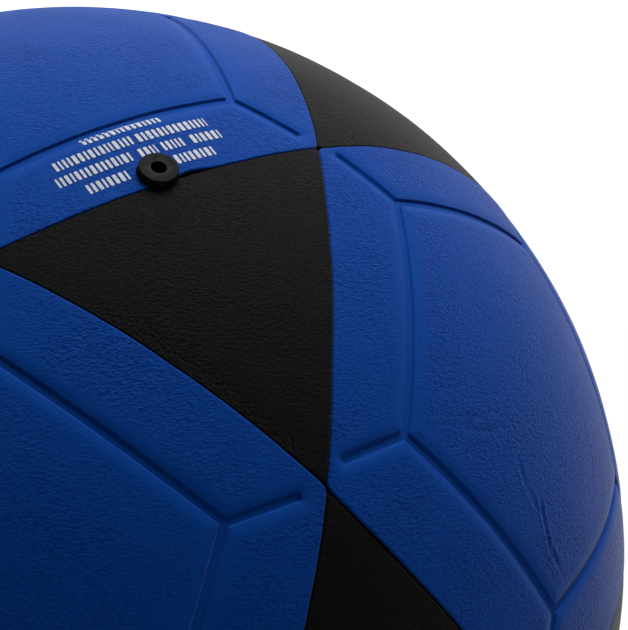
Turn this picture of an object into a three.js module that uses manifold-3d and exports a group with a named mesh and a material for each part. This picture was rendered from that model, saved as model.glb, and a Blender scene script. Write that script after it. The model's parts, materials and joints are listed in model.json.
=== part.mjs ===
// A size 5 football: twelve grooved pentagon panels and twenty triangle panels bonded over a
// rubber carcass, a wound nylon layer and an air bladder, with a push-in needle valve.
// Millimetres, +Z up, origin at the centre of the ball.

import * as THREE from 'three';
import { mergeVertices } from 'three/addons/utils/BufferGeometryUtils.js';
import Module from 'manifold-3d';

const wasm = await Module();
wasm.setup();

// ---------------------------------------------------------------- driving dimensions

const ballRadius = 110;         // 691 round: a size 5 ball measures 680 to 700
const panelThickness = 2.8;     // leather-like skin on its foam backing
const carcassThickness = 1.2;   // moulded rubber
const windingThickness = 0.7;   // layers of nylon thread
const bladderThickness = 0.9;   // butyl rubber
const fitGap = 0.3;             // between two panels, or two layers, that touch

const seamBow = 0.9;            // how far the middle of a seam bows into the triangle panel
const grooveWidth = 1.8;        // of the lines pressed into a pentagon panel
const grooveDepth = 0.9;
const grooveCornerAngle = 22;   // degrees from a panel's middle to the pressed pentagon's corners
const grooveTipAngle = 29;      // degrees from its middle to the ends of the five short lines

const valveElevation = 45.7;    // degrees above the horizontal
const valveAzimuth = 10.1;      // degrees from -Y towards +X
const patternSpin = 21.6;       // degrees that the panels are turned about the valve
const valveSeamOffset = 1.5;    // from the seam to the valve's axis, on the pentagon's side

const headRadius = 3.5;         // the valve insert
const headProud = 1.6;          // above the ball's surface
const headEdge = 0.4;
const shankRadius = 2.2;
const shankLength = 10.5;
const tipRadius = 1.2;
const tipLength = 3;
const needleRadius = 1.3;
const needleDepth = 11;
const housingRadius = 5.5;      // the rubber boot that holds the insert
const housingLength = 15;
const flangeRadius = 14;
const flangeThickness = 1.4;

const panelRings = 4;           // rows of facets from a panel's middle to its edge
const panelSag = 0.45;          // how far those flat facets dip below the true sphere
const grooveRings = 3;
const layerDetail = 5;          // subdivision of the layers under the panels
const layerSag = 0.8;
const valveSides = 24;

// ---------------------------------------------------------------- layer radii and valve heights

const panelInner = ballRadius - panelThickness;
const carcassOuter = panelInner - panelSag - fitGap;
const carcassInner = carcassOuter - carcassThickness;
const windingOuter = carcassInner - fitGap;
const windingInner = windingOuter - windingThickness;
const bladderOuter = windingInner - fitGap;
const bladderInner = bladderOuter - bladderThickness;

const housingTop = carcassOuter;
const flangeOuter = bladderInner - layerSag - fitGap;
const flangeInner = flangeOuter - flangeThickness;
const headTop = ballRadius + headProud;
const headBottom = housingTop + fitGap;

// ---------------------------------------------------------------- materials

const materials = {
  blueSkin: new THREE.MeshStandardMaterial({ color: 0x0d4590, roughness: 0.5, metalness: 0 }),
  blackSkin: new THREE.MeshStandardMaterial({ color: 0x1c1c1e, roughness: 0.5, metalness: 0 }),
  carcass: new THREE.MeshStandardMaterial({ color: 0x3a3733, roughness: 0.9, metalness: 0 }),
  winding: new THREE.MeshStandardMaterial({ color: 0xd9d4c4, roughness: 0.8, metalness: 0 }),
  bladder: new THREE.MeshStandardMaterial({ color: 0x25272b, roughness: 0.7, metalness: 0 }),
  housing: new THREE.MeshStandardMaterial({ color: 0x202022, roughness: 0.8, metalness: 0 }),
  insert: new THREE.MeshStandardMaterial({ color: 0x2c2c2d, roughness: 0.75, metalness: 0 }),
};

// ---------------------------------------------------------------- directions on the ball

const radians = THREE.MathUtils.degToRad;

function direction(x, y, z) {
  return new THREE.Vector3(x, y, z).normalize();
}

function middle(...directions) {
  const sum = new THREE.Vector3();
  directions.forEach((each) => sum.add(each));
  return sum.normalize();
}

// The direction reached by turning one direction towards another by an angle in radians.
function turned(from, towards, angle) {
  const axis = new THREE.Vector3().crossVectors(from, towards).normalize();
  return from.clone().applyAxisAngle(axis, angle);
}

// The rotation that carries +Z to a direction, with +X leaning towards a second one.
function facing(direction, lean) {
  const x = lean.clone().addScaledVector(direction, -lean.dot(direction)).normalize();
  const y = new THREE.Vector3().crossVectors(direction, x);
  const basis = new THREE.Matrix4().makeBasis(x, y, direction);
  return new THREE.Quaternion().setFromRotationMatrix(basis);
}

// Corners of a regular spherical polygon about +Z, the first of them towards +X.
function polygon(count, polarAngle) {
  const corners = [];
  for (let i = 0; i < count; i += 1) {
    const around = (2 * Math.PI * i) / count;
    const reach = Math.sin(polarAngle);
    corners.push(direction(reach * Math.cos(around), reach * Math.sin(around), Math.cos(polarAngle)));
  }
  return corners;
}

// ---------------------------------------------------------------- solids

function geometryOf(triangles) {
  const positions = new Float32Array(triangles.flatMap((point) => point.toArray()));
  const geometry = new THREE.BufferGeometry();
  geometry.setAttribute('position', new THREE.BufferAttribute(positions, 3));
  return mergeVertices(geometry);
}

function solidOf(geometry) {
  const bare = geometry.clone();
  bare.deleteAttribute('normal');
  bare.deleteAttribute('uv');
  const merged = mergeVertices(bare);
  const vertProperties = new Float32Array(merged.attributes.position.array);
  const triVerts = new Uint32Array(merged.index.array);
  return new wasm.Manifold(new wasm.Mesh({ numProp: 3, vertProperties, triVerts }));
}

function geometryOfSolid(solid) {
  const { vertProperties, triVerts } = solid.getMesh();
  const geometry = new THREE.BufferGeometry();
  geometry.setAttribute('position', new THREE.BufferAttribute(vertProperties, 3));
  geometry.setIndex(new THREE.BufferAttribute(triVerts, 1));
  geometry.computeVertexNormals();
  return geometry;
}

// A point on the side between two corners, bowed outwards in its middle and then set in
// towards the panel's centre.
function sidePoint(centre, from, to, along, bow, inset) {
  const point = new THREE.Vector3().lerpVectors(from, to, along).normalize();
  const outwards = new THREE.Vector3().crossVectors(to, from).normalize();
  point.addScaledVector(outwards, (bow / ballRadius) * 4 * along * (1 - along)).normalize();
  const apothem = ballRadius * centre.angleTo(middle(from, to));
  return point.lerpVectors(centre, point, 1 - inset / apothem).normalize();
}

// The facets of a polygon on the unit sphere, in rings from its centre to its sides, and its
// outline, in order.
function facets(corners, rings, bow = 0, inset = 0) {
  const centre = middle(...corners);
  const triangles = [];
  const outline = [];
  corners.forEach((from, i) => {
    const to = corners[(i + 1) % corners.length];
    const at = (ring, step) => {
      const edge = sidePoint(centre, from, to, ring ? step / ring : 0, bow, inset);
      return new THREE.Vector3().lerpVectors(centre, edge, ring / rings).normalize();
    };
    for (let ring = 0; ring < rings; ring += 1) {
      for (let step = 0; step <= ring; step += 1) {
        triangles.push(at(ring, step), at(ring + 1, step), at(ring + 1, step + 1));
        if (step < ring) {
          triangles.push(at(ring, step), at(ring + 1, step + 1), at(ring, step + 1));
        }
      }
    }
    for (let step = 0; step < rings; step += 1) {
      outline.push(at(rings, step));
    }
  });
  return { triangles, outline };
}

function scaled(points, radius) {
  return points.map((point) => point.clone().multiplyScalar(radius));
}

// The solid between two radii over a polygon on the sphere.
function block(corners, rings, inner, outer, bow = 0, inset = 0) {
  const { triangles, outline } = facets(corners, rings, bow, inset);
  const all = [...scaled(triangles, outer), ...scaled(triangles, inner).reverse()];
  outline.forEach((from, i) => {
    const to = outline[(i + 1) % outline.length];
    const [fromTop, toTop] = scaled([from, to], outer);
    const [fromFoot, toFoot] = scaled([from, to], inner);
    all.push(toTop, fromTop, fromFoot, toTop, fromFoot, toFoot);
  });
  return solidOf(geometryOf(all));
}

// A closed profile of [radius, height] points turned about +Z.
function turnedSolid(profile) {
  const points = profile.map(([radius, height]) => new THREE.Vector2(radius, height));
  return new THREE.LatheGeometry(points, valveSides).rotateX(Math.PI / 2);
}

function valveBore(radius) {
  const length = 2 * panelThickness + ballRadius - flangeInner;
  const drill = new THREE.CylinderGeometry(radius, radius, length, valveSides);
  drill.rotateX(Math.PI / 2);
  drill.translate(0, 0, (ballRadius + flangeInner) / 2);
  return solidOf(drill);
}

// ---------------------------------------------------------------- the panel pattern

// The twelve corners of an icosahedron are the middles of the pentagon panels, the middles of
// its twenty faces are those of the triangle panels, and panels meet at the middles of its edges.
const golden = (1 + Math.sqrt(5)) / 2;
const pentagonMiddles = [];
for (const a of [-1, 1]) {
  for (const b of [-golden, golden]) {
    pentagonMiddles.push(direction(0, a, b), direction(a, b, 0), direction(b, 0, a));
  }
}
const areNeighbours = (p, q) => p !== q && p.dot(q) > 0;

const pentagonPlaces = pentagonMiddles.map((centre) => {
  const neighbour = pentagonMiddles.find((other) => areNeighbours(centre, other));
  return { centre, corner: middle(centre, neighbour) };
});

const trianglePlaces = [];
pentagonMiddles.forEach((p, i) => {
  pentagonMiddles.slice(i + 1).forEach((q, j) => {
    pentagonMiddles.slice(i + j + 2).forEach((r) => {
      if (areNeighbours(p, q) && areNeighbours(q, r) && areNeighbours(r, p)) {
        trianglePlaces.push({ centre: middle(p, q, r), corner: middle(p, q) });
      }
    });
  });
});

const [firstPentagon] = pentagonPlaces;
const [firstTriangle] = trianglePlaces;
const pentagonCorners = polygon(5, firstPentagon.centre.angleTo(firstPentagon.corner));
const triangleCorners = polygon(3, firstTriangle.centre.angleTo(firstTriangle.corner));

// The valve stands in the middle of one seam, just inside the pentagon panel beside it.
const valvePanel = pentagonMiddles[0];
const around = pentagonMiddles.filter((other) => areNeighbours(valvePanel, other));
const acrossSeam = around.slice(1).find((other) => areNeighbours(around[0], other));
const seamMiddle = middle(middle(valvePanel, around[0]), middle(valvePanel, acrossSeam));
const valveDirection = turned(seamMiddle, valvePanel, valveSeamOffset / ballRadius);

// Turns the pattern so that the valve stands on +Z with its pentagon panel towards +Y.
const toValve = facing(valveDirection, new THREE.Vector3().crossVectors(valvePanel, valveDirection))
  .invert();

// ---------------------------------------------------------------- panels

const triangleSolid = block(triangleCorners, panelRings, panelInner, ballRadius,
  -seamBow, fitGap / 2);

function groovedPentagon() {
  const floor = ballRadius - grooveDepth;
  const above = ballRadius + grooveDepth;
  const half = grooveWidth / 2;
  const grooveCorners = polygon(5, radians(grooveCornerAngle));
  const grooveTips = polygon(5, radians(grooveTipAngle));
  let grooves = block(grooveCorners, grooveRings, floor, above, 0, -half)
    .subtract(block(grooveCorners, grooveRings, panelInner, 2 * above, 0, half));
  grooveCorners.forEach((corner, i) => {
    const tip = grooveTips[i];
    const aside = new THREE.Vector3().crossVectors(corner, tip).normalize();
    const shift = half / ballRadius;
    const strip = [[corner, -shift], [tip, -shift], [tip, shift], [corner, shift]]
      .map(([point, offset]) => point.clone().addScaledVector(aside, offset).normalize());
    grooves = grooves.add(block(strip, 1, floor, above));
  });
  return block(pentagonCorners, panelRings, panelInner, ballRadius, seamBow, fitGap / 2)
    .subtract(grooves);
}

const pentagonSolid = groovedPentagon();

// A panel in its place, with the valve's hole through it where it reaches that far.
function panel(name, solid, place, material) {
  const centre = place.centre.clone().applyQuaternion(toValve);
  const corner = place.corner.clone().applyQuaternion(toValve);
  const placement = facing(centre, corner);
  const back = new THREE.Matrix4().makeRotationFromQuaternion(placement.clone().invert());
  const bore = valveBore(headRadius + fitGap).transform(back.toArray());
  const mesh = new THREE.Mesh(geometryOfSolid(solid.subtract(bore)), material);
  mesh.name = name;
  mesh.quaternion.copy(placement);
  return mesh;
}

// ---------------------------------------------------------------- layers under the panels

function ball(radius) {
  return solidOf(new THREE.IcosahedronGeometry(radius, layerDetail));
}

function layer(name, outer, inner, material) {
  const hole = valveBore(housingRadius + fitGap);
  const shell = ball(outer).subtract(ball(inner)).subtract(hole);
  const mesh = new THREE.Mesh(geometryOfSolid(shell), material);
  mesh.name = name;
  return mesh;
}

// ---------------------------------------------------------------- valve

// Heights on a sphere about the ball's centre, from one distance off the axis to another.
function arc(radius, from, to, steps) {
  const points = [];
  for (let i = 0; i <= steps; i += 1) {
    const out = THREE.MathUtils.lerp(from, to, i / steps);
    points.push([out, Math.sqrt(radius * radius - out * out)]);
  }
  return points;
}

function valveHousing() {
  const bore = shankRadius + fitGap;
  const foot = housingTop - housingLength;
  const flangeSteps = 3;
  const profile = [
    [bore, foot],
    [housingRadius, foot],
    ...arc(flangeInner, housingRadius, flangeRadius, flangeSteps),
    ...arc(flangeOuter, flangeRadius, housingRadius, flangeSteps),
    [housingRadius, housingTop],
    [bore, housingTop],
    [bore, foot],
  ];
  const mesh = new THREE.Mesh(turnedSolid(profile), materials.housing);
  mesh.name = 'valve_housing';
  return mesh;
}

function valveInsert() {
  const shankFoot = headBottom - shankLength;
  const needleFoot = headTop - needleDepth;
  const profile = [
    [0, shankFoot - tipLength],
    [tipRadius, shankFoot - tipLength],
    [shankRadius, shankFoot],
    [shankRadius, headBottom],
    [headRadius, headBottom],
    [headRadius, headTop - headEdge],
    [headRadius - headEdge, headTop],
    [needleRadius, headTop],
    [needleRadius, needleFoot],
    [0, needleFoot - needleRadius],
  ];
  const mesh = new THREE.Mesh(turnedSolid(profile), materials.insert);
  mesh.name = 'valve_insert';
  return mesh;
}

// ---------------------------------------------------------------- assembly

const onValveAxis = new THREE.Group();

pentagonPlaces.forEach((place, i) => {
  const name = `pentagon_panel_${String(i + 1).padStart(2, '0')}`;
  onValveAxis.add(panel(name, pentagonSolid, place, materials.blueSkin));
});
trianglePlaces.forEach((place, i) => {
  const name = `triangle_panel_${String(i + 1).padStart(2, '0')}`;
  onValveAxis.add(panel(name, triangleSolid, place, materials.blackSkin));
});

const underPanels = [
  layer('rubber_carcass', carcassOuter, carcassInner, materials.carcass),
  layer('nylon_winding', windingOuter, windingInner, materials.winding),
  layer('air_bladder', bladderOuter, bladderInner, materials.bladder),
];
onValveAxis.add(...underPanels, valveHousing(), valveInsert());

onValveAxis.rotation.z = radians(patternSpin);

const leaning = new THREE.Group();
leaning.add(onValveAxis);
leaning.rotation.x = radians(90 - valveElevation);

const football = new THREE.Group();
football.add(leaning);
football.rotation.z = radians(valveAzimuth);

export default football;
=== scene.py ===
"""Looks of a laminated football: finely meshed leather-like panels with rounded edges, pressed
grooves and grain, a needle valve, and the layers under the panels. Metres, +Z up."""

import json
import math
import random

import bmesh
import bpy
import numpy as np
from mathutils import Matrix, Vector, noise


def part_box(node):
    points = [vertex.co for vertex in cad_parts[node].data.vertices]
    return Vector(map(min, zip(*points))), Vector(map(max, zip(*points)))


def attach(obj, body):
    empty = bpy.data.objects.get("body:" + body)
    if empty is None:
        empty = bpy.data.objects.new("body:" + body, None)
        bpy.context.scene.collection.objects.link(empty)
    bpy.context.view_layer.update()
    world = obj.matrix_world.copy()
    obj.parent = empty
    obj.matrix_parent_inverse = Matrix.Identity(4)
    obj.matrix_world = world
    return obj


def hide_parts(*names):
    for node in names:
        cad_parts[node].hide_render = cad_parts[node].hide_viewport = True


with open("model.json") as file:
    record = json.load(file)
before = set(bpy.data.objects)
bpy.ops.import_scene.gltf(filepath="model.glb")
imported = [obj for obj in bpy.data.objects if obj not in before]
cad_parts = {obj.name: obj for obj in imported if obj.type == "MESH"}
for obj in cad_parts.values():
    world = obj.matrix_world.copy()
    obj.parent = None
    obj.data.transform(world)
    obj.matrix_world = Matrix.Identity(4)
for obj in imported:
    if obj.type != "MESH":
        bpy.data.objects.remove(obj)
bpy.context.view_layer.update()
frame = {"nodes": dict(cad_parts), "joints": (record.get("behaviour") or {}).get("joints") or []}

# ---------------------------------------------------------------- driving dimensions
#
# Lengths in capitals are in millimetres, unless they say otherwise. Times MM they are in metres.

MM = 0.001

RADIUS = 110.0                  # of the ball
PANEL_THICKNESS = 2.8
SEAM_GAP = 0.08                 # between two panels, under their rounded edges
SEAM_BOW = 0.9                  # how far the middle of a seam bows into the black panel
SEAM_FROM_VALVE = 1.5           # the valve stands this far inside the blue panel
PATTERN_SPIN = math.radians(21.6)           # how far the panels are turned about the valve
GROOVE_CORNER_ANGLE = math.radians(22)      # from a blue panel's middle to its pressed corners
GROOVE_TIP_ANGLE = math.radians(28.9)       # and to the far ends of its five short grooves

# ---------------------------------------------------------------- camera

CAMERA_DISTANCE = 4.42 * RADIUS
CAMERA_ELEVATION = math.radians(10.63)
FOCAL_OVER_HEIGHT = 3.74        # focal length over the height of the picture
AIM_YAW = math.radians(5.71)    # the camera looks past the ball, to its right
AIM_PITCH = math.radians(-5.0)
SENSOR_HEIGHT = 36.0
CLIP_START = 10.0


def link(name, data):
    """A new object in the scene."""
    made = bpy.data.objects.new(name, data)
    bpy.context.scene.collection.objects.link(made)
    return made


def make_camera():
    data = bpy.data.cameras.new("camera")
    data.sensor_fit = "VERTICAL"
    data.sensor_height = SENSOR_HEIGHT
    data.lens = SENSOR_HEIGHT * FOCAL_OVER_HEIGHT
    data.clip_start = CLIP_START * MM
    camera = link("camera", data)
    rise = math.sin(CAMERA_ELEVATION)
    back = math.cos(CAMERA_ELEVATION)
    camera.location = Vector((0, -back, rise)) * CAMERA_DISTANCE * MM
    camera.rotation_euler = (math.pi / 2 + AIM_PITCH, 0, -AIM_YAW)
    bpy.context.scene.camera = camera


make_camera()

# ---------------------------------------------------------------- vectors and curves


def unit(v):
    v = np.asarray(v, float)
    return v / np.linalg.norm(v, axis=-1, keepdims=True)


def middle(*directions):
    return unit(sum(directions))


def turned(direction, towards, angle):
    """The direction reached by turning one direction towards another."""
    side = unit(towards - direction * np.dot(direction, towards))
    return direction * math.cos(angle) + side * math.sin(angle)


def full_turn(sides):
    """Angles spaced evenly round a circle."""
    return 2 * np.pi * np.arange(sides) / sides


def smooth(x, low, high):
    """0 below low and 1 above high, with a smooth rise between them."""
    t = np.clip((x - low) / (high - low), 0, 1)
    return t * t * (3 - 2 * t)


def bell(x):
    return np.exp(-x * x)


def rough(directions, size, number=0.0):
    """Even noise over the ball, about -1 to 1, whose bumps are size millimetres apart. Another
    number gives another noise."""
    scale = RADIUS / size
    return np.array([noise.noise(Vector((x * scale, y * scale, z * scale + number)))
                     for x, y, z in directions.tolist()])


# ---------------------------------------------------------------- the panel pattern


def valve_frame():
    """The valve's axis and the two directions across it, along the seam and across the seam."""
    axis = unit(frame["joints"][0]["axis"])
    right = unit(np.cross((0, 0, 1), axis))
    up = np.cross(axis, right)
    cos, sin = math.cos(PATTERN_SPIN), math.sin(PATTERN_SPIN)
    return axis, cos * right + sin * up, cos * up - sin * right


VALVE_AXIS, SEAM_RIGHT, SEAM_UP = valve_frame()


def from_valve(right, up):
    """The direction of a place given in millimetres from the valve, on the plane that touches
    the ball there."""
    return unit(VALVE_AXIS * RADIUS + SEAM_RIGHT * right + SEAM_UP * up)


# Where four panels really meet, for the corners that are a little off the pattern.
OFF_CORNERS = [from_valve(35.45, -1.3), from_valve(0.53, -70.36)]
OFF_CORNER_REACH = 1.0


def settled(corner):
    """A corner's real place."""
    for place in OFF_CORNERS:
        if np.dot(place, corner) > math.cos(OFF_CORNER_REACH / RADIUS):
            return place
    return corner


def in_order(centre, corners):
    """Corners anticlockwise round the centre, seen from outside."""
    x = unit(corners[0] - centre * np.dot(centre, corners[0]))
    y = np.cross(centre, x)
    return sorted(corners, key=lambda c: math.atan2(np.dot(c, y), np.dot(c, x)))


def pattern():
    """Colours and middles of the panels, each with its corners. Blue panels lie at the corners of
    an icosahedron, and black ones at the middles of its faces."""
    golden = (1 + math.sqrt(5)) / 2
    blues = [unit(p) for a in (-1, 1) for b in (-golden, golden)
             for p in ((0, a, b), (a, b, 0), (b, 0, a))]
    near = [[j for j, q in enumerate(blues) if j != i and np.dot(p, q) > 0]
            for i, p in enumerate(blues)]
    first = near[0][0]
    second = next(j for j in near[0] if j in near[first])
    seam = middle(middle(blues[0], blues[first]), middle(blues[0], blues[second]))
    valve = turned(seam, blues[0], SEAM_FROM_VALVE / RADIUS)
    up = unit(blues[0] - valve * np.dot(valve, blues[0]))
    turn = np.column_stack([SEAM_RIGHT, SEAM_UP, VALVE_AXIS]) @ np.vstack(
        [np.cross(up, valve), up, valve])
    blues = [turn @ p for p in blues]
    places = [("blue", centre, [middle(centre, blues[j]) for j in near[i]])
              for i, centre in enumerate(blues)]
    for i, p in enumerate(blues):
        for j in near[i]:
            for k in near[i]:
                if i < j < k and k in near[j]:
                    q, r = blues[j], blues[k]
                    places.append(("black", middle(p, q, r),
                                   [middle(p, q), middle(q, r), middle(r, p)]))
    return [(colour, centre, in_order(centre, [settled(c) for c in corners]))
            for colour, centre, corners in places]


def node_at(colour, centre):
    """The CAD node of the panel whose middle lies in that direction."""
    kind = {"blue": "pentagon_panel", "black": "triangle_panel"}[colour]
    names = [n for n in frame["nodes"] if n.startswith(kind)]
    return max(names, key=lambda n: np.dot(centre, unit(sum(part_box(n), Vector()))))


# ---------------------------------------------------------------- panels, drawn flat
#
# A panel is drawn on the plane that touches the ball at its middle, in millimetres, as loops of
# points from its middle out to its edge. Then it is thrown onto the ball.

PANELS = pattern()
CORNER_ANGLE = {                # from a panel's middle to its corners
    "blue": math.acos(np.dot(PANELS[0][1], PANELS[0][2][0])),
    "black": math.acos(np.dot(PANELS[-1][1], PANELS[-1][2][0])),
}
GROOVE_STRETCH = 1.1            # a millimetre on the ball is drawn this long at the groove
EDGE_STRETCH = {"blue": 1.25, "black": 1.04}    # and this long at the panel's edge

# The mesh: distances of its lines from a corner, from the middle of a groove and from the edge,
# the shares of the way from groove to edge where more of them run, and the step elsewhere.
CORNER_STEPS = np.concatenate([np.arange(0, 3.3, 0.2), [3.6, 4.2]])
GROOVE_STEPS = np.array([3.4, 2.7, 2.1, 1.7, 1.4, 1.22, 1.1, 1.02, .94, .86, .78, .7, .5, .25])
EDGE_STEPS = np.array([2.6, 1.9, 1.4, 1.05, .8, .6, .42, .32, .24, .16, .09, .04, .012, 0])
BETWEEN = np.concatenate([[.025, .06, .12, .2, .3, .4, .5, .6], np.linspace(.66, .9, 17),
                          [.95, 1]])
PLAIN_STEP = 1.9
FULL_SIDE = 0.6                 # sides shorter than this share of the panel's have closer steps
WALL_LOOPS = 3                  # down the cut edge
UNDER_LOOPS = 5                 # across the underside

GROOVE_DEPTH = 0.52
WALL_FROM, WALL_TO = 0.7, 1.04  # where a groove's wall stands, from the middle of the groove
SHOULDER = 3.4                  # how far from that middle the leather dips towards the groove
SHOULDER_DIP = 0.3
GROOVE_WANDER, GROOVE_WAVE = 0.07, 7.0      # how far a groove's walls wander, and how often
SQUARENESS = 5                  # of the far ends of the short grooves

BLUNT = {"blue": 1.6, "black": 0.6}         # radius of a panel's corners
EDGE_ROUND = {"blue": 0.4, "black": 0.24}   # radius of the rounding along its edges
EDGE_LIFT = {"blue": 0.07, "black": -0.04}  # how proud of the ball its edge stands
LIFT_FADES = (0.5, 6.0)         # how far inside the edge that starts to fade, and is gone
SEAM_WAVES = [(14, 0.16), (5, 0.08)]        # size and depth of a seam's wander from its curve
FACE_WAVES = [(16, 0.07), (5, 0.03)]        # and of the face's unevenness

# Distances from the middle of a groove between which the grain comes back, the pleats start and
# the pleats end, and from its corners between which the pleats start.
GRAIN_FADES = (1.4, 5.0)
PLEATS_START, PLEATS_END, PLEATS_FROM_CORNER = (1.1, 1.6), (2.2, 3.6), (2.0, 6.0)

CREASE_WANDER, CREASE_WAVE = 0.5, 4.0
CREASE_FADE = 5.0               # how far from its ends a crease reaches its depth
CREASE_DEPTH_SHARE, CREASE_DEPTH_SPREAD, CREASE_DEPTH_WAVE = 0.75, 0.5, 5.0
LIP_SHARE = 0.32                # height of a lip beside a crease, as a share of its depth
LIP_PLACE, LIP_WIDTH = 2.4, 1.6     # where it is and how wide, in widths of the crease

SEGMENT_APART = 100.0           # keeps places along one groove off those along the next
SHEET_APART = 50.0              # keeps one panel's grain off the next one's

# Where a seam stands open: the place, its reach, how wide, and the panel that draws back.
OPEN_SEAMS = [
    (from_valve(5.5, -1.8), 3.2, 0.75, "blue"),
    (from_valve(9, -83), 14, 0.4, "black"),
    (from_valve(30, -118), 26, 0.35, "black"),
]

# What sets single panels apart, by number: the way the grain runs and how far the groove is
# twisted, in degrees, how far it was pressed off its place, the step of the mesh, and where the
# skin is creased or ruffled, as paths on the panel's drawing, each with its width and depth.
TRAITS = {
    0: {"grain": -116, "twist": 0.97, "shift": (-0.95, 0.41), "step": 1.3},
    1: {"grain": 54, "twist": -1.9, "shift": (-2.08, 1.03), "step": 1.3},
    2: {"grain": 24, "twist": -0.82, "shift": (-1.18, 2.23), "step": 0.75,
        "creases": [
            ([(-10.4, -15.4), (-6.4, -20.5), (-4.1, -22.4), (0.2, -25.6)], 0.36, 0.42),
            ([(-1.4, -20.6), (0.9, -25.0), (4.5, -29.5), (13.2, -33.3)], 0.36, 0.42),
            ([(-33, -20.5), (-26, -17.2), (-19.7, -16.4), (-13, -12.6)], 0.4, 0.1),
            ([(-30, -16.5), (-22, -14.5), (-14, -9.6)], 0.4, 0.06)],
        "ruffles": [([(-34, -20), (-20, -15), (-8, -11)], 3.0, 0.2)]},
    12: {"grain": -51, "step": 1.0,
         "ruffles": [([(-18.6, 10.8), (-18.3, -1.1), (-18.4, -9), (-19.3, -27)], 1.9, 0.9)]},
    14: {"grain": -30, "step": 1.3},
    17: {"grain": 9, "step": 1.3},
}
ANY_TWIST, ANY_SHIFT = 0.8, 0.9


def any_traits(number):
    """Small differences for a panel that has none of its own."""
    draw = random.Random(number)
    return {"grain": draw.uniform(0, 180), "twist": draw.gauss(0, ANY_TWIST),
            "shift": (draw.gauss(0, ANY_SHIFT), draw.gauss(0, ANY_SHIFT))}


def polygon(sides, radius, turn, shift):
    angles = turn + full_turn(sides)
    return np.column_stack([np.cos(angles), np.sin(angles)]) * radius + shift


def inset(corners, distance):
    """A nearly regular polygon with its sides moved in towards its middle."""
    centre = corners.mean(0)
    radius = np.linalg.norm(corners - centre, axis=1).mean()
    scale = 1 - distance / math.cos(math.pi / len(corners)) / radius
    return centre + (corners - centre) * scale


def corner_arc(s, reach, radius, half_angle):
    """Where a point at distance s from a corner goes once the corner is blunt: along and in, and
    how far the way out turns there."""
    phi = (1 - s / reach) * (math.pi / 2 - half_angle)
    return reach - radius * np.sin(phi), radius * (1 - np.cos(phi)), phi


def outline(corners, full_length, plain, bow=0.0, blunt=0.0):
    """Points round a polygon, closer together near its corners, and the way out at each. bow
    pushes the middle of each side out."""
    sides = len(corners)
    half_angle = math.pi * (0.5 - 1 / sides)
    points, ways = [], []
    for i, start in enumerate(corners):
        run = corners[(i + 1) % sides] - start
        length = np.linalg.norm(run)
        along = run / length
        out = np.array([along[1], -along[0]])
        fine = CORNER_STEPS / math.sin(half_angle) * min(1, length / full_length)
        even = np.linspace(fine[-1], length - fine[-1], plain + 2)[1:-1]
        s = np.concatenate([fine, even, length - fine[:0:-1]])
        t = s / length
        push = bow * 4 * t * (1 - t)
        place = s.copy()
        turn = np.zeros(len(s))
        if blunt:
            reach = blunt / math.tan(half_angle)
            near, far = s < reach, length - s < reach
            place[near], drop, turn[near] = corner_arc(s[near], reach, blunt, half_angle)
            push[near] -= drop
            back, drop, phi = corner_arc(length - s[far], reach, blunt, half_angle)
            place[far], turn[far] = length - back, -phi
            push[far] -= drop
        points.append(start + np.outer(place, along) + np.outer(push, out))
        ways.append(np.outer(np.cos(turn), out) - np.outer(np.sin(turn), along))
    return np.concatenate(points), np.concatenate(ways)


def distance_to(points, starts, ends, square=0):
    """Distance from each point to the nearest of some line segments, and how far along it. Past
    the ends of the last few, the square ones, it grows as it would round a square-cut strip."""
    run = ends - starts
    length = np.linalg.norm(run, axis=1)
    t = np.einsum("psk,sk->ps", points[:, None] - starts, run) / length ** 2
    foot = starts + np.clip(t, 0, 1)[..., None] * run
    gap = np.linalg.norm(points[:, None] - foot, axis=2)
    if square:
        past = np.clip(t - 1, 0, None) * length * (np.arange(len(length)) >= len(length) - square)
        aside = np.sqrt(np.clip(gap ** 2 - past ** 2, 0, None))
        blend = (past ** SQUARENESS + aside ** SQUARENESS) ** (1 / SQUARENESS)
        gap = np.where(past > 0, blend, gap)
    nearest = gap.argmin(1)
    rows = np.arange(len(points))
    return gap[rows, nearest], t[rows, nearest] * length[nearest] + SEGMENT_APART * nearest


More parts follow.
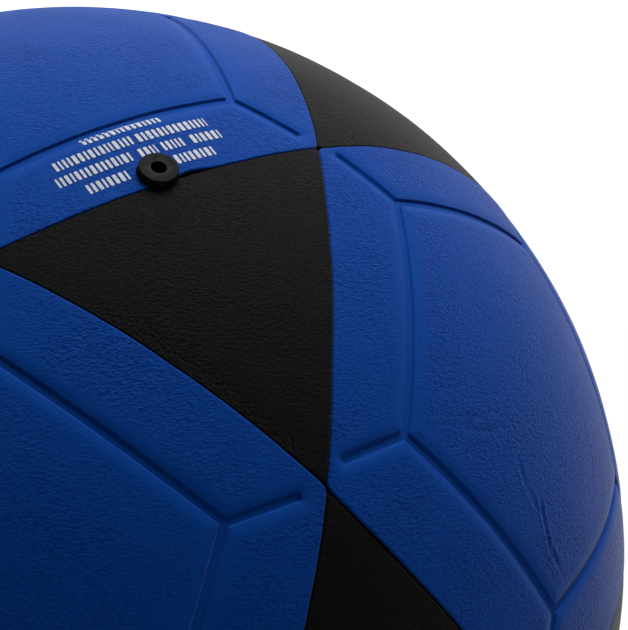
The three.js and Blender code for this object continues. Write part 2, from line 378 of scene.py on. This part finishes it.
class Panel:
    """One panel's drawing: loops of flat points, heights over the ball and shading values."""

    def __init__(self, colour, centre, corners, number):
        self.colour = colour
        self.number = number
        self.traits = TRAITS.get(number) or any_traits(number)
        self.centre = centre
        self.x = unit(corners[0] - centre * np.dot(centre, corners[0]))
        self.y = np.cross(centre, self.x)
        self.sides = len(corners)
        self.edge = self.flat(np.array(corners))
        self.length = np.linalg.norm(self.edge[1] - self.edge[0])
        self.step = self.traits.get("step", PLAIN_STEP)
        self.plain = round(self.length / self.step)
        self.outward = 1 if colour == "blue" else -1
        self.bow = SEAM_BOW * EDGE_STRETCH[colour] * self.outward
        self.draw()

    def flat(self, directions):
        """Where directions meet the drawing."""
        across = np.column_stack([directions @ self.x, directions @ self.y])
        return across / (directions @ self.centre)[:, None] * RADIUS

    def directions(self, flat):
        """The directions from the ball's middle of points of the drawing."""
        return unit(self.centre + (flat[:, :1] * self.x + flat[:, 1:] * self.y) / RADIUS)

    def line(self, corners, **shape):
        return outline(corners, self.length * FULL_SIDE, self.plain, **shape)

    def edge_line(self, distance):
        """The line at a distance inside the panel's real edge, which wanders and draws back."""
        corners = inset(self.edge, (distance + SEAM_GAP / 2) * EDGE_STRETCH[self.colour])
        points, ways = self.line(corners, bow=self.bow, blunt=BLUNT[self.colour])
        there = self.directions(points)
        push = self.outward * sum(depth * rough(there, size) for size, depth in SEAM_WAVES)
        for place, reach, width, colour in OPEN_SEAMS:
            if colour == self.colour:
                away = np.arccos(np.clip(there @ place, -1, 1)) * RADIUS
                push -= width * bell(away / reach)
        return points + ways * push[:, None] * EDGE_STRETCH[self.colour]

    def draw(self):
        """The panel's loops, from its middle to its edge."""
        ring = []
        if self.colour == "blue":
            place = math.radians(self.traits["twist"]), self.traits["shift"]
            self.groove = polygon(5, RADIUS * math.tan(GROOVE_CORNER_ANGLE), *place)
            self.tips = polygon(5, RADIUS * math.tan(GROOVE_TIP_ANGLE), *place)
            offsets = np.concatenate([GROOVE_STEPS, [0], -GROOVE_STEPS[::-1]]) * GROOVE_STRETCH
            ring = [self.line(inset(self.groove, d))[0] for d in offsets]
        edges = [self.edge_line(d) for d in EDGE_STEPS]
        first = ring[0] if ring else edges[0]
        self.heart = first.mean(0)
        middle_of_side = first[len(first) // self.sides // 2]
        steps = round(np.linalg.norm(middle_of_side - self.heart) / self.step)
        self.loops = [self.heart + (first - self.heart) * k / steps for k in range(1, steps)]
        self.loops += ring
        if ring:
            self.loops += [ring[-1] + (edges[0] - ring[-1]) * k for k in BETWEEN]
            edges = edges[1:]
        self.loops += edges
        self.count = len(first)

    def onto_ball(self, flat, height):
        """Points of the drawing, in metres, at a height in millimetres over the ball."""
        return self.directions(flat) * ((RADIUS + height) * MM)[:, None]

    def profile(self, flat):
        """Heights over the ball at points of the drawing, and what the material reads there."""
        there = self.directions(flat)
        edge_ends = np.roll(self.edge, -1, axis=0)
        to_edge = distance_to(flat, self.edge, edge_ends)[0] / EDGE_STRETCH[self.colour]
        height = EDGE_LIFT[self.colour] * (1 - smooth(to_edge, *LIFT_FADES))
        height += sum(depth * rough(there, size) for size, depth in FACE_WAVES)
        read = {name: np.zeros(len(flat)) for name in ("pressed", "beside", "along", "creased")}
        if self.colour == "blue":
            height -= self.press(flat, there, read)
        for path, width, depth in self.traits.get("creases", ()):
            height += self.crease(flat, there, np.array(path), width, depth)
        for path, width, depth in self.traits.get("ruffles", ()):
            path = np.array(path)
            away = distance_to(flat, path[:-1], path[1:])[0] / width
            read["creased"] = np.maximum(read["creased"], depth * bell(away))
        return height, read

    def press(self, flat, there, read):
        """How deep the grooves are at points of the drawing, which also goes into what is read:
        how hard the skin was pressed, and where its pleats are."""
        starts = np.concatenate([self.groove, self.groove])
        ends = np.concatenate([np.roll(self.groove, -1, axis=0), self.tips])
        gap, along = distance_to(flat, starts, ends, square=self.sides)
        gap = gap / GROOVE_STRETCH + GROOVE_WANDER * rough(there, GROOVE_WAVE, number=9.0)
        to_corner = np.linalg.norm(flat[:, None] - self.groove, axis=2).min(1)
        read["pressed"] = 1 - smooth(gap, *GRAIN_FADES)
        read["along"] = along
        read["beside"] = smooth(gap, *PLEATS_START) * (1 - smooth(gap, *PLEATS_END))
        read["beside"] *= smooth(to_corner, *PLEATS_FROM_CORNER)
        read["beside"] *= along < self.sides * SEGMENT_APART
        wall = 1 - smooth(gap, WALL_FROM, WALL_TO)
        shoulder = 1 - smooth(gap, WALL_FROM, SHOULDER)
        return GROOVE_DEPTH * wall + SHOULDER_DIP * shoulder ** 2

    def crease(self, flat, there, path, width, depth):
        """A fold along a path: a sharp valley with a low lip on each side, fading at its ends."""
        wander = [rough(there, CREASE_WAVE, number) for number in (3.0, 5.0)]
        wavy = flat + np.column_stack(wander) * CREASE_WANDER
        away = distance_to(wavy, path[:-1], path[1:])[0] / width
        ends = np.linalg.norm(flat[:, None] - path[[0, -1]], axis=2).min(1)
        uneven = CREASE_DEPTH_SPREAD * rough(there, CREASE_DEPTH_WAVE, number=7.0)
        fade = smooth(ends, 0, CREASE_FADE) * (CREASE_DEPTH_SHARE + uneven)
        return depth * fade * (LIP_SHARE * bell((away - LIP_PLACE) / LIP_WIDTH) - bell(away))

    def build(self, node):
        """The panel's mesh: its face, the wall round it and its underside, one closed body."""
        face = np.concatenate(self.loops)
        height, read = self.profile(face)
        rounding = EDGE_ROUND[self.colour]
        inside = np.repeat(np.clip(rounding - EDGE_STEPS, 0, None), self.count)
        height[-len(inside):] -= rounding - np.sqrt(rounding ** 2 - inside ** 2)
        rim = face[-self.count:]
        rim_height = height[-self.count:]
        sunk = [self.onto_ball(rim, rim_height - (PANEL_THICKNESS + rim_height) * k)
                for k in np.linspace(0, 1, WALL_LOOPS + 1)[1:]]
        foot = np.full(self.count, -PANEL_THICKNESS)
        under = [self.onto_ball(self.heart + (rim - self.heart) * k, foot)
                 for k in np.linspace(1, 0, UNDER_LOOPS + 1)[1:-1]]
        poles = self.onto_ball(np.array([self.heart, self.heart]),
                               np.array([height[:self.count].mean(), -PANEL_THICKNESS]))
        points = np.concatenate([poles[:1], self.onto_ball(face, height), *sunk, *under,
                                 poles[1:]])
        rows = len(self.loops) + WALL_LOOPS + UNDER_LOOPS - 1
        faces, backing = loop_faces(rows, self.count, len(self.loops))
        mesh = bpy.data.meshes.new(node + "_skin")
        mesh.from_pydata(points, [], faces)
        self.tag(mesh, len(points), read)
        mesh.materials.append(SKINS[self.colour])
        mesh.materials.append(SKINS["backing"])
        mesh.polygons.foreach_set("material_index", backing)
        mesh.polygons.foreach_set("use_smooth", np.ones(len(faces), bool))
        mesh.update()
        return link(node + "_skin", mesh)

    def tag(self, mesh, count, read):
        """Puts what the material reads on the face's vertices, which come after the first."""
        for name, value in read.items():
            rest = np.zeros(count - len(value) - 1)
            whole = np.concatenate([value[:1], value, rest])
            layer = mesh.attributes.new(name, "FLOAT", "POINT")
            layer.data.foreach_set("value", whole.astype(np.float32))

    def lay_out(self, mesh):
        """Puts on each vertex where it lies on the sheet that the panel was cut from."""
        points = np.empty(3 * len(mesh.vertices))
        mesh.vertices.foreach_get("co", points)
        points = points.reshape(-1, 3)
        grain = math.radians(self.traits["grain"])
        cos, sin = math.cos(grain), math.sin(grain)
        u, v = points @ self.x / MM, points @ self.y / MM
        sheet = np.column_stack([u * cos + v * sin, v * cos - u * sin,
                                 np.full(len(points), SHEET_APART * self.number)])
        layer = mesh.attributes.new("sheet", "FLOAT_VECTOR", "POINT")
        layer.data.foreach_set("vector", sheet.astype(np.float32).ravel())


def loop_faces(rows, count, face_rows):
    """Faces between closed loops of points, with a fan at each end, and which are backing."""
    ring = np.arange(count)
    after = (ring + 1) % count
    faces = [[0, a, b] for a, b in zip(1 + ring, 1 + after)]
    for row in range(rows - 1):
        low, high = 1 + row * count, 1 + (row + 1) * count
        faces += np.column_stack([low + ring, high + ring, high + after, low + after]).tolist()
    last = 1 + (rows - 1) * count
    faces += [[rows * count + 1, b, a] for a, b in zip(last + ring, last + after)]
    backing = np.zeros(len(faces), np.int32)
    backing[face_rows * count:] = 1
    return faces, backing


# ---------------------------------------------------------------- materials


class Nodes:
    """Short names for making shader nodes and linking them."""

    def __init__(self, name):
        self.material = bpy.data.materials.new(name)
        self.material.use_nodes = True
        self.tree = self.material.node_tree
        self.shader = self.tree.nodes["Principled BSDF"]

    def add(self, kind, values=None, **settings):
        node = self.tree.nodes.new(kind)
        for key, value in settings.items():
            setattr(node, key, value)
        for key, value in (values or {}).items():
            self.set(node.inputs[key], value)
        return node

    def set(self, socket, value):
        if isinstance(value, bpy.types.NodeSocket):
            self.tree.links.new(value, socket)
        else:
            socket.default_value = value

    def shade(self, **values):
        """Sets the shader's own sockets, named with _ for a space."""
        for key, value in values.items():
            self.set(self.shader.inputs[key.replace("_", " ")], value)

    def attribute(self, name, output="Fac"):
        return self.add("ShaderNodeAttribute", attribute_name=name).outputs[output]

    def place(self):
        return self.add("ShaderNodeTexCoord").outputs["Object"]

    def math(self, operation, *values):
        node = self.add("ShaderNodeMath", operation=operation)
        for socket, value in zip(node.inputs, values):
            self.set(socket, value)
        return node.outputs[0]

    def ramp(self, value, low, high, to=(0.0, 1.0)):
        node = self.add("ShaderNodeMapRange", interpolation_type="SMOOTHSTEP")
        for socket, number in zip(node.inputs, (value, low, high, *to)):
            self.set(socket, number)
        return node.outputs[0]

    def stretched(self, vector, scale):
        return self.add("ShaderNodeMapping", {"Vector": vector, "Scale": scale}).outputs[0]

    def noise(self, vector, scale, detail=2.0, roughness=0.5, distortion=0.0):
        node = self.add("ShaderNodeTexNoise", {
            "Vector": vector, "Scale": scale, "Detail": detail, "Roughness": roughness,
            "Distortion": distortion})
        return node.outputs["Fac"]

    def mix(self, factor, a, b):
        node = self.add("ShaderNodeMix", data_type="RGBA")
        for name, value in (("Factor", factor), ("A", a), ("B", b)):
            self.set(node.inputs[name], (*value, 1.0) if isinstance(value, tuple) else value)
        return node.outputs["Result"]

    def bump(self, height, depth, strength=1.0, below=None):
        """A normal for a height from 0 to 1 that stands for a depth in millimetres."""
        values = {"Height": height, "Distance": depth * MM, "Strength": strength}
        if below is not None:
            values["Normal"] = below
        return self.add("ShaderNodeBump", values).outputs[0]


SKIN_GLOSS = 0.04
SKIN_SHEEN, SHEEN_ROUGHNESS = 0.15, 0.35
SKIN_ROUGHNESS, VALLEY_ROUGHNESS = 0.66, 0.76
GRAIN_STRETCH = (0.78, 1.35, 1.0)
WRINKLE_SCALE, PEBBLE_SCALE = 1.55, 1.75    # how many there are to a millimetre, about
PEBBLE_SHARE = -0.6
PRESSED_GRAIN = 0.15            # how much of the grain is left where the skin was pressed
PATCH_GRAIN = (0.55, 1.1)       # and in the smoothest and the roughest patches
PIT_STRETCH, PIT_DEPTH = (1.5, 1.2, 1.0), 0.13
PLEAT_TURN, PLEAT_JITTER = 7.0, 14.0        # radians to a millimetre, and what puts them out
PLEAT_DEPTH = 0.018


def leather(name, colour, dark, dusty, grain_depth):
    """Synthetic leather: pebbles drawn out into short wrinkles, smooth beside the pressed lines,
    with fine pleats along those lines and pits where the skin was ruffled. Its colour is darkened
    towards the dark tone in the grain's valleys and in the pits, as painted shade."""
    n = Nodes(name)
    sheet = n.attribute("sheet", "Vector")
    drawn_out = n.stretched(sheet, GRAIN_STRETCH)
    wrinkles = n.noise(drawn_out, WRINKLE_SCALE, detail=2.5, distortion=0.45)
    pebbles = n.add("ShaderNodeTexVoronoi", {"Vector": drawn_out, "Scale": PEBBLE_SCALE,
                                             "Smoothness": 0.5, "Randomness": 1.0},
                    feature="SMOOTH_F1").outputs["Distance"]
    grain = n.math("ADD", wrinkles, n.math("MULTIPLY", pebbles, PEBBLE_SHARE))
    patches = n.ramp(n.noise(sheet, 0.06, detail=3.0), 0.3, 0.7, to=PATCH_GRAIN)
    shown = n.ramp(n.attribute("pressed"), 0.0, 1.0, to=(1.0, PRESSED_GRAIN))
    shown = n.math("MULTIPLY", shown, patches)
    pits = n.noise(n.stretched(sheet, PIT_STRETCH), 1.0, detail=1.0, distortion=0.2)
    pits = n.math("MULTIPLY", n.ramp(pits, 0.45, 0.58), n.attribute("creased"))

    # Painted shade: the colour goes towards the dark tone in the grain's valleys and in the pits,
    # where shade would fall.
    shade = n.math("SUBTRACT", 1.0, n.math("MULTIPLY", n.ramp(grain, 0.45, -0.1), shown))
    shade = n.math("MULTIPLY", shade, n.math("SUBTRACT", 1.0, pits))
    specks = n.ramp(n.noise(sheet, 1.1, detail=4.0, roughness=0.7), 0.71, 0.78, to=(0.0, 0.16))

    waves = n.math("MULTIPLY", n.attribute("along"), PLEAT_TURN)
    jitter = n.math("MULTIPLY", n.noise(sheet, 1.1), PLEAT_JITTER)
    waves = n.math("SINE", n.math("ADD", waves, jitter))
    pleated = n.math("MULTIPLY", n.attribute("beside"), n.ramp(n.noise(sheet, 0.16), 0.42, 0.62))
    relief = n.bump(n.math("MULTIPLY", grain, shown), grain_depth)
    relief = n.bump(pits, -PIT_DEPTH, below=relief)
    relief = n.bump(n.math("MULTIPLY", waves, pleated), PLEAT_DEPTH, below=relief)

    n.shade(Base_Color=n.mix(specks, n.mix(shade, dark, colour), dusty), Normal=relief,
            Roughness=n.ramp(grain, 0.0, 0.5, to=(VALLEY_ROUGHNESS, SKIN_ROUGHNESS)),
            Specular_IOR_Level=SKIN_GLOSS, Sheen_Weight=SKIN_SHEEN,
            Sheen_Roughness=SHEEN_ROUGHNESS)
    return n.material


def backing(name):
    """The dark foam and cloth at a panel's cut edge and on its underside, made near black so that
    it also paints the shade in the gaps of the seams.
    """
    n = Nodes(name)
    cells = n.add("ShaderNodeTexVoronoi", {"Vector": n.place(), "Scale": 2500.0}).outputs[0]
    # Near black, partly the foam's own colour and partly painted shade in the seam gaps where
    # this wall shows; darker in the hollows of its cells, also painted shade.
    foam = n.mix(n.ramp(cells, 0.1, 0.6), (0.006, 0.006, 0.008), (0.015, 0.015, 0.018))
    n.shade(Base_Color=foam, Normal=n.bump(cells, 0.1, strength=0.6), Roughness=0.9,
            Specular_IOR_Level=0.05)
    return n.material


RUBBER_SCALE = 900.0
RUBBER_ROUGHNESS = (0.61, 0.76)


def rubber(name, colour, dusty):
    """Moulded rubber, dusty in patches and wherever its piece says so."""
    n = Nodes(name)
    place = n.place()
    cloud = n.noise(place, RUBBER_SCALE, detail=5.0, roughness=0.65)
    scuffs = n.noise(n.stretched(place, (1.0, 0.25, 1.0)), RUBBER_SCALE * 1.5, detail=4.0,
                     roughness=0.7)
    rubbed = n.math("MULTIPLY", n.attribute("dust"), n.ramp(scuffs, 0.35, 0.65, to=(0.25, 1.0)))
    dust = n.math("MAXIMUM", n.ramp(cloud, 0.5, 0.8, to=(0.0, 0.6)), rubbed)
    n.shade(Base_Color=n.mix(dust, colour, dusty), Normal=n.bump(cloud, 0.05, strength=0.5),
            Roughness=n.ramp(cloud, 0.3, 0.7, to=RUBBER_ROUGHNESS), Specular_IOR_Level=0.06)
    return n.material


THREAD_WAYS = [(0.2, 0.4, 0.1), (1.1, -0.5, 0.9), (-0.7, 1.2, 1.9)]


def thread(name):
    """Nylon thread wound over itself in several directions."""
    n = Nodes(name)
    place = n.place()
    height = 0.0
    for way in THREAD_WAYS:
        along = n.add("ShaderNodeMapping", {"Vector": place, "Rotation": way}).outputs[0]
        strands = n.add("ShaderNodeTexWave", {"Vector": along, "Scale": 260.0, "Distortion": 1.5,
                                              "Detail": 1.0, "Detail Scale": 0.3}).outputs["Fac"]
        height = n.math("MAXIMUM", height, strands)
    # Painted shade: the thread is darker where the strands lie low, between them.
    n.shade(Base_Color=n.mix(height, (0.33, 0.30, 0.22), (0.74, 0.71, 0.60)), Roughness=0.55,
            Normal=n.bump(height, 0.3, strength=0.9))
    return n.material


def paint(name):
    """White print, thin enough to let the blue skin through in specks."""
    n = Nodes(name)
    worn = n.noise(n.place(), 2600.0, detail=3.0, roughness=0.6)
    worn = n.ramp(worn, 0.52, 0.68, to=(0.0, 0.7))
    n.shade(Base_Color=n.mix(worn, (0.42, 0.43, 0.45), (0.08, 0.14, 0.32)), Roughness=0.6,
            Specular_IOR_Level=0.2, Normal=n.bump(worn, 0.02, strength=0.4))
    return n.material


# Each leather's dark tone is painted shade, used in its grain's valleys and pits.
SKINS = {
    "blue": leather("blue_leather", colour=(0.0003, 0.041, 0.238), dark=(0.0001, 0.027, 0.178),
                    dusty=(0.06, 0.11, 0.26), grain_depth=0.17),
    "black": leather("black_leather", colour=(0.0044, 0.0041, 0.0042),
                     dark=(0.0028, 0.0027, 0.0028), dusty=(0.05, 0.05, 0.052),
                     grain_depth=0.13),
    "backing": backing("foam_backing"),
}

# ---------------------------------------------------------------- building the panels

BORE = 3.7                      # radius of the valve's hole through the two panels round it
BORE_SIDES = 64
BORE_ENDS = (0.9 * RADIUS, 1.05 * RADIUS)
SHARP_FROM = math.radians(38)   # edges that turn more than this aren't shaded as rounded


def sharpen(build):
    """Leaves edges that turn hard out of the smooth shading."""
    for edge in build.edges:
        edge.smooth = edge.calc_face_angle(0) < SHARP_FROM


def round_valve(radius, height, sides):
    """Points, in metres, on a circle about the valve's axis, at a height in millimetres from the
    ball's middle."""
    turns = full_turn(sides)
    ring = np.outer(np.cos(turns), SEAM_RIGHT) + np.outer(np.sin(turns), SEAM_UP)
    return (ring * radius + VALVE_AXIS * height) * MM


def valve_cutter():
    """What cuts the valve's hole. The hole's wall takes a panel's second material."""
    mesh = bpy.data.meshes.new("valve_cutter")
    points = np.concatenate([round_valve(BORE, height, BORE_SIDES) for height in BORE_ENDS])
    sides = [[i, (i + 1) % BORE_SIDES, BORE_SIDES + (i + 1) % BORE_SIDES, BORE_SIDES + i]
             for i in range(BORE_SIDES)]
    ends = [list(range(BORE_SIDES - 1, -1, -1)), list(range(BORE_SIDES, 2 * BORE_SIDES))]
    mesh.from_pydata(points, [], sides + ends)
    for _ in range(2):
        mesh.materials.append(SKINS["backing"])
    mesh.polygons.foreach_set("material_index", np.ones(len(mesh.polygons), int))
    return link("valve_cutter", mesh)


def cut_by(piece, cutter):
    cut = piece.modifiers.new("bore", "BOOLEAN")
    cut.object = cutter
    cut.operation = "DIFFERENCE"
    cut.solver = "EXACT"
    bpy.context.view_layer.update()
    graph = bpy.context.evaluated_depsgraph_get()
    piece_cut = bpy.data.meshes.new_from_object(piece.evaluated_get(graph))
    piece.modifiers.clear()
    piece.data = piece_cut
    build = bmesh.new()
    build.from_mesh(piece_cut)
    sharpen(build)
    build.to_mesh(piece_cut)
    build.free()


def make_panels():
    cutter = valve_cutter()
    panels = [Panel(*place, number) for number, place in enumerate(PANELS)]
    for panel in panels:
        node = node_at(panel.colour, panel.centre)
        piece = panel.build(node)
        if np.dot(panel.centre, VALVE_AXIS) > math.cos(CORNER_ANGLE[panel.colour]):
            cut_by(piece, cutter)
        panel.lay_out(piece.data)
        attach(piece, "ball")
        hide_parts(node)
    bpy.data.objects.remove(cutter)
    return panels


panels = make_panels()

# ---------------------------------------------------------------- print beside the valve

# Rows of short upright strokes that stand for the small print: how far above the valve, and
# from where to where each group of strokes goes.
PRINT_ROWS = [
    (12.55, [(-7.9, 7.7)]),
    (9.0, [(-15.2, 0.1), (1.2, 15.4)]),
    (5.4, [(-16.6, -1.8), (-0.4, 3.0), (4.2, 8.9), (10.2, 16.2)]),
    (1.7, [(-12.7, -4.4), (4.6, 12.5)]),
]
PRINTED_PANEL = 0
PRINT_SEED = 5
STROKE_HEIGHT = 2.2
STROKE_WIDTHS = (0.38, 0.78)
STROKE_GAP = 0.45
STROKE_LEVELS = np.array([0, .03, .1, .3, .5, .7, .9, .97, 1])      # shares of its height
STROKE_NARROWED = np.array([.55, .8, 1, 1, 1, 1, 1, .8, .55])       # and of its width there
PRINT_DEPTH = 0.07              # how far a stroke stands above the skin, and reaches into it


def stroke(panel, left, width, up):
    """One upright stroke: a low block that follows the skin, as points and its faces."""
    levels = up + (STROKE_LEVELS - 0.5) * STROKE_HEIGHT
    aside = width / 2 * STROKE_NARROWED
    across = left + width / 2
    there = [from_valve(across + side * out, level)
             for level, out in zip(levels, aside) for side in (-1, 1)]
    flat = panel.flat(np.array(there))
    height = panel.profile(flat)[0]
    points = [*panel.onto_ball(flat, height - PRINT_DEPTH),
              *panel.onto_ball(flat, height + PRINT_DEPTH)]
    count = len(flat)
    rim = list(range(0, count, 2)) + list(range(count - 1, 0, -2))
    faces = [[i, j, j + count, i + count] for i, j in zip(rim, rim[-1:] + rim[:-1])]
    for k in range(0, count - 2, 2):
        faces.append([k, k + 2, k + 3, k + 1])
        faces.append([count + k + 1, count + k + 3, count + k + 2, count + k])
    return points, faces


def print_marks(panel):
    draw = random.Random(PRINT_SEED)
    points, faces = [], []
    for up, groups in PRINT_ROWS:
        for start, end in groups:
            at = start
            while at < end - STROKE_WIDTHS[0] / 2:
                width = min(draw.uniform(*STROKE_WIDTHS), end - at)
                more, corners = stroke(panel, at, width, up)
                faces += [[len(points) + i for i in face] for face in corners]
                points += more
                at += width + STROKE_GAP
    mesh = bpy.data.meshes.new("print_marks")
    mesh.from_pydata(points, [], faces)
    mesh.materials.append(paint("print_paint"))
    piece = link("print_marks", mesh)
    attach(piece, "ball")


print_marks(panels[PRINTED_PANEL])

# ---------------------------------------------------------------- the layers and the valve
#
# Heights along the valve's axis are from the ball's middle.

TURN_SIDES = 128
SHELL_STEP = math.radians(3)
WELD = 0.001                    # points closer than this become one
LAYERS = {                      # outer and inner radius
    "rubber_carcass": (106.45, 105.25),
    "nylon_winding": (104.95, 104.25),
    "air_bladder": (103.95, 103.05),
}
LAYER_HOLE = 5.8                # round the valve's housing, through the layers
HOUSING_TOP, HOUSING_FOOT = 106.45, 91.45
HOUSING_RADIUS, HOUSING_BORE, HOUSING_ROUND = 5.5, 2.5, 0.35
FLANGE_RADIUS, FLANGE_OUTER, FLANGE_INNER, FLANGE_STEPS = 14.0, 101.95, 100.55, 8
HEAD_TOP, HEAD_BOTTOM, HEAD_RADIUS, HEAD_BEVEL = 111.6, 106.75, 3.5, 0.16
SHANK_RADIUS, SHANK_FOOT = 2.2, 96.25
TIP_RADIUS, TIP_FOOT = 1.2, 93.25
NEEDLE_RADIUS, NEEDLE_FOOT = 1.42, 100.6
MOUTH_WIDTH, MOUTH_DIP = 0.75, 0.03         # the slight hollow round the needle's hole
INSERT_ROUND = 0.06
DUST_PLACE, DUST_WIDTH, DUST_REACH = 0.2, 0.45, 0.3     # of the dust in that hollow

LOOKS = {
    # The carcass rubber is near black, partly its own colour and partly painted shade where it
    # shows through the seam gaps.
    "rubber_carcass": rubber("carcass_rubber", (0.016, 0.015, 0.014), (0.05, 0.045, 0.04)),
    "nylon_winding": thread("nylon_thread"),
    "air_bladder": rubber("bladder_rubber", (0.02, 0.022, 0.026), (0.04, 0.042, 0.045)),
    "valve_housing": rubber("valve_rubber", (0.012, 0.012, 0.013), (0.03, 0.03, 0.03)),
    "valve_insert": rubber("insert_rubber", (0.0050, 0.0048, 0.0048), (0.03, 0.029, 0.028)),
}


def turned_piece(node, profile, body="ball", dust=None):
    """A body turned about the valve's axis from a closed loop of (radius, height) points, that
    stands for a CAD node."""
    build = bmesh.new()
    dusty = build.verts.layers.float.new("dust")
    rings = []
    for radius, height in profile:
        ring = [build.verts.new(p) for p in round_valve(radius, height, TURN_SIDES)]
        for vert in ring:
            vert[dusty] = dust(radius, height) if dust else 0.0
        rings.append(ring)
    for i, ring in enumerate(rings):
        after = rings[(i + 1) % len(rings)]
        if max(profile[i][0], profile[(i + 1) % len(rings)][0]) > 0:
            for j in range(TURN_SIDES):
                k = (j + 1) % TURN_SIDES
                build.faces.new((ring[j], ring[k], after[k], after[j]))
    bmesh.ops.remove_doubles(build, verts=build.verts, dist=WELD * MM)
    bmesh.ops.recalc_face_normals(build, faces=build.faces)
    for face in build.faces:
        face.smooth = True
    sharpen(build)
    mesh = bpy.data.meshes.new(node + "_body")
    build.to_mesh(mesh)
    build.free()
    mesh.materials.append(LOOKS[node])
    piece = link(node + "_body", mesh)
    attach(piece, body)
    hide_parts(node)


def sphere_arc(radius, start, end, steps):
    """Points at one distance from the ball's middle, from one angle off the axis to another."""
    turns = np.linspace(start, end, steps)
    return list(zip(radius * np.abs(np.sin(turns)), radius * np.cos(turns)))


def shell(outer, inner):
    """The profile of a hollow ball with a hole round the valve."""
    steps = round(math.pi / SHELL_STEP)
    outside = sphere_arc(outer, math.asin(LAYER_HOLE / outer), math.pi, steps)
    inside = sphere_arc(inner, math.pi, math.asin(LAYER_HOLE / inner), steps)
    return outside + inside


def rounded(points, radius, steps=5):
    """A profile with its corners rounded, apart from those on the axis."""
    points = [np.array(p, float) for p in points]
    made = []
    for i, corner in enumerate(points):
        if corner[0] < radius:
            made.append(tuple(corner))
            continue
        before, after = points[i - 1] - corner, points[(i + 1) % len(points)] - corner
        reach = min(radius, np.linalg.norm(before) * 0.45, np.linalg.norm(after) * 0.45)
        start, end = corner + unit(before) * reach, corner + unit(after) * reach
        for t in np.linspace(0, 1, steps):
            made.append(tuple(start * (1 - t) ** 2 + corner * 2 * t * (1 - t) + end * t * t))
    return made


def hole_dust(radius, height):
    """Dust left round the needle's hole, as strong as it is near the hole's mouth."""
    if height <= HEAD_TOP - DUST_REACH:
        return 0.0
    return float(bell((radius - NEEDLE_RADIUS - DUST_PLACE) / DUST_WIDTH))


def make_inside():
    for node, radii in LAYERS.items():
        turned_piece(node, shell(*radii))
    inner, outer = (sphere_arc(radius, math.asin(HOUSING_RADIUS / radius),
                               math.asin(FLANGE_RADIUS / radius), FLANGE_STEPS)
                    for radius in (FLANGE_INNER, FLANGE_OUTER))
    housing = [(HOUSING_BORE, HOUSING_FOOT), (HOUSING_RADIUS, HOUSING_FOOT), *inner,
               *outer[::-1], (HOUSING_RADIUS, HOUSING_TOP), (HOUSING_BORE, HOUSING_TOP)]
    turned_piece("valve_housing", rounded(housing, HOUSING_ROUND))
    insert = [(0, TIP_FOOT), (TIP_RADIUS, TIP_FOOT), (SHANK_RADIUS, SHANK_FOOT),
              (SHANK_RADIUS, HEAD_BOTTOM), (HEAD_RADIUS, HEAD_BOTTOM),
              (HEAD_RADIUS, HEAD_TOP - HEAD_BEVEL), (HEAD_RADIUS - HEAD_BEVEL, HEAD_TOP),
              (NEEDLE_RADIUS + MOUTH_WIDTH, HEAD_TOP - MOUTH_DIP * 2 / 3),
              (NEEDLE_RADIUS, HEAD_TOP - MOUTH_DIP),
              (NEEDLE_RADIUS, NEEDLE_FOOT), (0, NEEDLE_FOOT - NEEDLE_RADIUS)]
    turned_piece("valve_insert", rounded(insert, INSERT_ROUND), body="valve_plug",
                 dust=hole_dust)


make_inside()

# ---------------------------------------------------------------- floor, world and light

FLOOR_RADIUS = 420
FLOOR_SIDES = 160
FLOOR_TONES = (0.46, 0.46, 0.47), (0.48, 0.48, 0.49)

# The studio's light, from the darkest side in front to the brightest, behind and above, and
# between which dot products with that side it rises.
WORLD_FRONT, WORLD_BACK = 0.03, 1.6
BRIGHT_SIDE = (0.08, 0.6, 0.8)
WORLD_RISES = (0.1, 0.9)

LIGHT_PLACE = (260, -50, 1180)
LIGHT_SIZE = 800
LIGHT_POWER = 14.5


def make_stage():
    """A round pale table top under the ball."""
    mesh = bpy.data.meshes.new("floor")
    turns = full_turn(FLOOR_SIDES)
    rim = np.column_stack([np.cos(turns), np.sin(turns), np.zeros(FLOOR_SIDES)])
    mesh.from_pydata(rim * FLOOR_RADIUS * MM, [], [list(range(FLOOR_SIDES))])
    n = Nodes("floor_paint")
    mottle = n.noise(n.place(), 60.0, detail=4.0)
    n.shade(Base_Color=n.mix(mottle, *FLOOR_TONES), Roughness=0.8, Specular_IOR_Level=0.1)
    mesh.materials.append(n.material)
    piece = link("floor", mesh)
    piece.location = (0, 0, -RADIUS * MM)


def make_world():
    """A white studio: bright behind the ball and dim in front of it, seen as plain white."""
    world = bpy.data.worlds.new("studio")
    world.use_nodes = True
    tree = world.node_tree
    direction = tree.nodes.new("ShaderNodeTexCoord").outputs["Generated"]
    towards = tree.nodes.new("ShaderNodeVectorMath")
    towards.operation = "DOT_PRODUCT"
    tree.links.new(direction, towards.inputs[0])
    towards.inputs[1].default_value = unit(BRIGHT_SIDE)
    light = tree.nodes.new("ShaderNodeMapRange")
    light.interpolation_type = "SMOOTHSTEP"
    for socket, value in zip(light.inputs[1:5], (*WORLD_RISES, WORLD_FRONT, WORLD_BACK)):
        socket.default_value = value
    tree.links.new(towards.outputs["Value"], light.inputs["Value"])
    seen = tree.nodes.new("ShaderNodeMath")
    seen.operation = "MAXIMUM"
    tree.links.new(light.outputs[0], seen.inputs[0])
    tree.links.new(tree.nodes.new("ShaderNodeLightPath").outputs["Is Camera Ray"], seen.inputs[1])
    background = tree.nodes["Background"]
    background.inputs["Color"].default_value = (1, 1, 1, 1)
    tree.links.new(seen.outputs[0], background.inputs["Strength"])
    bpy.context.scene.world = world


def make_light():
    """A round softbox over the ball, aimed at its middle."""
    data = bpy.data.lights.new("overhead", "AREA")
    data.shape = "DISK"
    data.size = LIGHT_SIZE * MM
    data.energy = LIGHT_POWER
    light = link("overhead", data)
    light.location = Vector(LIGHT_PLACE) * MM
    light.rotation_euler = (-light.location).to_track_quat("-Z", "Y").to_euler()


make_stage()
make_world()
make_light()

bpy.context.scene.view_settings.view_transform = "Standard"
